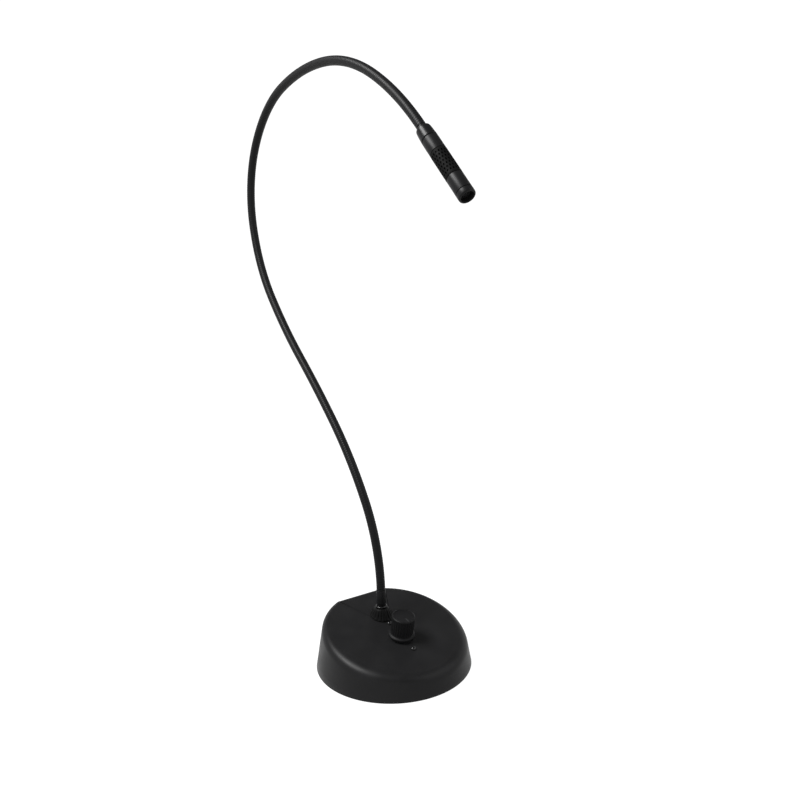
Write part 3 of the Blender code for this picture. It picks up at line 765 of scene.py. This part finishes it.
def build_neck():
    """The skin and the cable, cut at the middles of the links so that each run spans one joint."""
    total = LINK_LENGTH * len(LINK_BENDS)
    middles = [GAP] + [LINK_LENGTH * (link + 0.5) for link in range(len(LINK_BENDS))] + [total - GAP]
    sides = 20
    for number, (low, high) in enumerate(zip(middles, middles[1:])):
        outer = tube_rings(low, high, ribbed, RIB_PITCH / 6, sides)
        inner = tube_rings(low, high, lambda distance, angle: NECK_BORE, 4.0, sides)
        wall = loft("skin", outer + inner[::-1], closed=True)
        skin = piece(f"neck_skin_{number}", wall, "neck_satin", sharp=60.0)
        cable = tube_rings(low, high, lambda distance, angle: CABLE_RADIUS, 3.0, 12)
        core = piece(f"cable_run_{number}", loft("core", cable), "cable_grey")
        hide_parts("mic_cable")
        if number == 0:
            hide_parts("neck_link_1")
            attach(skin, "base")
            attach(core, "base")
        elif number == len(LINK_BENDS):
            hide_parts(f"neck_link_{number}")
            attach(skin, "head")
            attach(core, "head")
        else:
            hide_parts(f"neck_link_{number}", f"neck_link_{number + 1}")
            for made in (skin, core):
                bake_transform(made)


def build_cable_ends():
    """The cable below the neck, down to its plug, and beyond it, through the head."""
    y, z, _ = STOPS[0]
    low = BOARD_TOP + 3.6
    route = [(NECK_Y, low), (NECK_Y, (low + z) / 2), (y, z + 0.6)]
    made = straight_cable("cable_foot", route, 0.0)
    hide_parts("mic_cable")
    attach(made, "base")
    y, z, tilt = STOPS[-1]
    route = [(y - d * sin(tilt), z + d * cos(tilt)) for d in (-0.6, 12.0, 26.0, CAPSULE_BOARD - 0.3)]
    made = straight_cable("cable_head", route, tilt)
    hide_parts("mic_cable")
    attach(made, "head")


def straight_cable(name, route, tilt):
    rings = []
    for y, z in route:
        ring = []
        for turn in range(12):
            angle = 2 * pi * turn / 12
            across = CABLE_RADIUS * sin(angle)
            ring.append((CABLE_RADIUS * cos(angle), y + across * cos(tilt), z + across * sin(tilt)))
        rings.append(ring)
    return piece(name, loft(name, rings), "cable_grey")


# Head


def build_head():
    place = place_at(*STOPS[-1])

    def add(name, mesh, finish, node, sharp=32.0):
        stand_in(name, mesh, finish, place, "head", node, sharp)

    low, high = FERRULE
    ferrule = [(NECK_BORE, low), (3.35, low), (3.4, low + 0.5), (3.5, low + 1.0), (3.85, low + 1.35)]
    ferrule += [(4.3, low + 1.6), (4.6, low + 1.9), (4.74, low + 2.5), (4.83, low + 3.5)]
    ferrule += [(4.95, low + 5.3), (5.05, low + 7.3), (5.15, low + 9.1), (TUBE_RADIUS, high - 0.4)]
    ferrule += [(5.05, high), (SPIGOT, high), (SPIGOT, high + 4.0), (3.9, high + 4.0)]
    ferrule += [(3.9, low + 3.1), (NECK_BORE, low + 2.9)]
    add("head_ferrule_detail", revolve("ferrule", soften(ferrule, 0.2), 64), "ferrule_satin", "head_ferrule")

    low, high = BODY
    body = [(SOCKET, low), (TUBE_RADIUS, low), (TUBE_RADIUS, high), (SPIGOT, high)]
    body += [(SPIGOT, high + SPIGOT_LENGTH), (HEAD_BORE, high + SPIGOT_LENGTH)]
    body += [(HEAD_BORE, low + SPIGOT_LENGTH), (SOCKET, low + SPIGOT_LENGTH)]
    add("head_body_detail", revolve("body", soften(body, 0.25), 64), "black_metal", "head_body_tube")

    add("vent_sleeve_detail", vent_mesh(), "vent_dark", "vent_sleeve", sharp=40.0)
    low, high = VENT[0] + SPIGOT_LENGTH, VENT[1] - SPIGOT_LENGTH
    liner = revolve("liner", [(4.6, low), (4.6, high), (4.45, high), (4.45, low)], 48)
    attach(piece("vent_liner", liner, "vent_dark", place), "head")

    low, high = FRONT
    socket_low = TIP[0] - SPIGOT_LENGTH
    front = [(SPIGOT, low - SPIGOT_LENGTH), (SPIGOT, low), (5.23, low), (5.23, high), (SOCKET, high)]
    front += [(SOCKET, socket_low), (HEAD_BORE, socket_low), (HEAD_BORE, low - SPIGOT_LENGTH)]
    add("head_front_detail", revolve("front", soften(front, 0.25), 64), "black_metal", "head_front_tube")

    low, high = TIP
    foot = low - SPIGOT_LENGTH + GAP
    tip = [(SPIGOT, foot), (SPIGOT, low), (TUBE_RADIUS, low), (HEAD_RADIUS, low + 0.4)]
    tip += [(HEAD_RADIUS, high - 1.1), (5.1, high - 0.45), (4.8, high - 0.1), (4.5, high)]
    tip += [(4.2, high - 0.1), (3.95, high - 0.5), (3.85, high - 1.0), (3.8, foot)]
    add("head_tip_detail", revolve("tip", soften(tip, 0.15), 64), "black_metal", "head_tip_ring")
    add("mic_grille_detail", grille_mesh(high - 3.2, high - 2.6), "black_metal", "mic_grille")


def grille_mesh(low, high):
    """A disc with staggered rows of round holes."""
    pitch = 1.1
    reach = 3.0
    holes = []
    for row in range(-3, 4):
        for column in range(-3, 4):
            x = (column + 0.5 * (row % 2)) * pitch
            across = row * pitch * 0.866
            if hypot(x, across) < reach:
                hole = revolve("hole", rod(0.38, -2.0, 2.0), 10)
                holes.append(shaped(hole, shift(x, across, (low + high) / 2)))
    return carve(revolve("grille", soften(rod(3.5, low, high), 0.1), 48), [joined(holes)])


def joined(meshes):
    bm = bmesh.new()
    for mesh in meshes:
        bm.from_mesh(mesh)
        bpy.data.meshes.remove(mesh)
    made = bpy.data.meshes.new("joined")
    bm.to_mesh(made)
    bm.free()
    return made


def vent_mesh():
    """The sleeve's wall, pierced by staggered rows of short slots, as one closed body."""
    low, high = VENT
    columns = 18
    fine = 8
    sides = columns * fine
    rim = 1.3
    rows = 7
    pitch = (high - low - 2 * rim) / rows
    levels = [low, low + 0.25, low + rim]
    kinds = [None, None]
    for row in range(rows):
        start = low + rim + row * pitch
        levels += [start + pitch * share for share in (0.14, 0.24, 0.76, 0.86, 1.0)]
        kinds += [None, ("end", row), ("open", row), ("end", row), None]
    levels += [high - 0.25, high]
    kinds += [None, None]
    bm = bmesh.new()
    grid = []
    for index, level in enumerate(levels):
        inset = 0.15 if index in (0, len(levels) - 1) else 0.0
        ring = []
        for step in range(sides):
            angle = 2 * pi * step / sides
            radius = HEAD_RADIUS - inset
            ring.append(bm.verts.new(Vector((radius * cos(angle), radius * sin(angle), level)) * MM))
        grid.append(ring)
    for index, kind in enumerate(kinds):
        for step in range(sides):
            across = step % fine
            if kind:
                stagger = fine // 2 * (kind[1] % 2)
                across = (step + stagger) % fine
                gap = (2, 3, 4, 5) if kind[0] == "open" else (3, 4)
                if across in gap:
                    continue
            after = (step + 1) % sides
            here, above = grid[index], grid[index + 1]
            bm.faces.new((here[step], here[after], above[after], above[step]))
    bmesh.ops.recalc_face_normals(bm, faces=bm.faces)
    bm.normal_update()
    bmesh.ops.solidify(bm, geom=bm.faces[:], thickness=0.45 * MM)
    bmesh.ops.recalc_face_normals(bm, faces=bm.faces)
    mesh = bpy.data.meshes.new("vent")
    bm.to_mesh(mesh)
    bm.free()
    return mesh


camera()
studio()
finish_cad_nodes()
build_shell()
build_screws()
build_inlet_shell()
build_inlet_pins()
build_knob()
build_root()
build_neck()
build_cable_ends()
build_head()
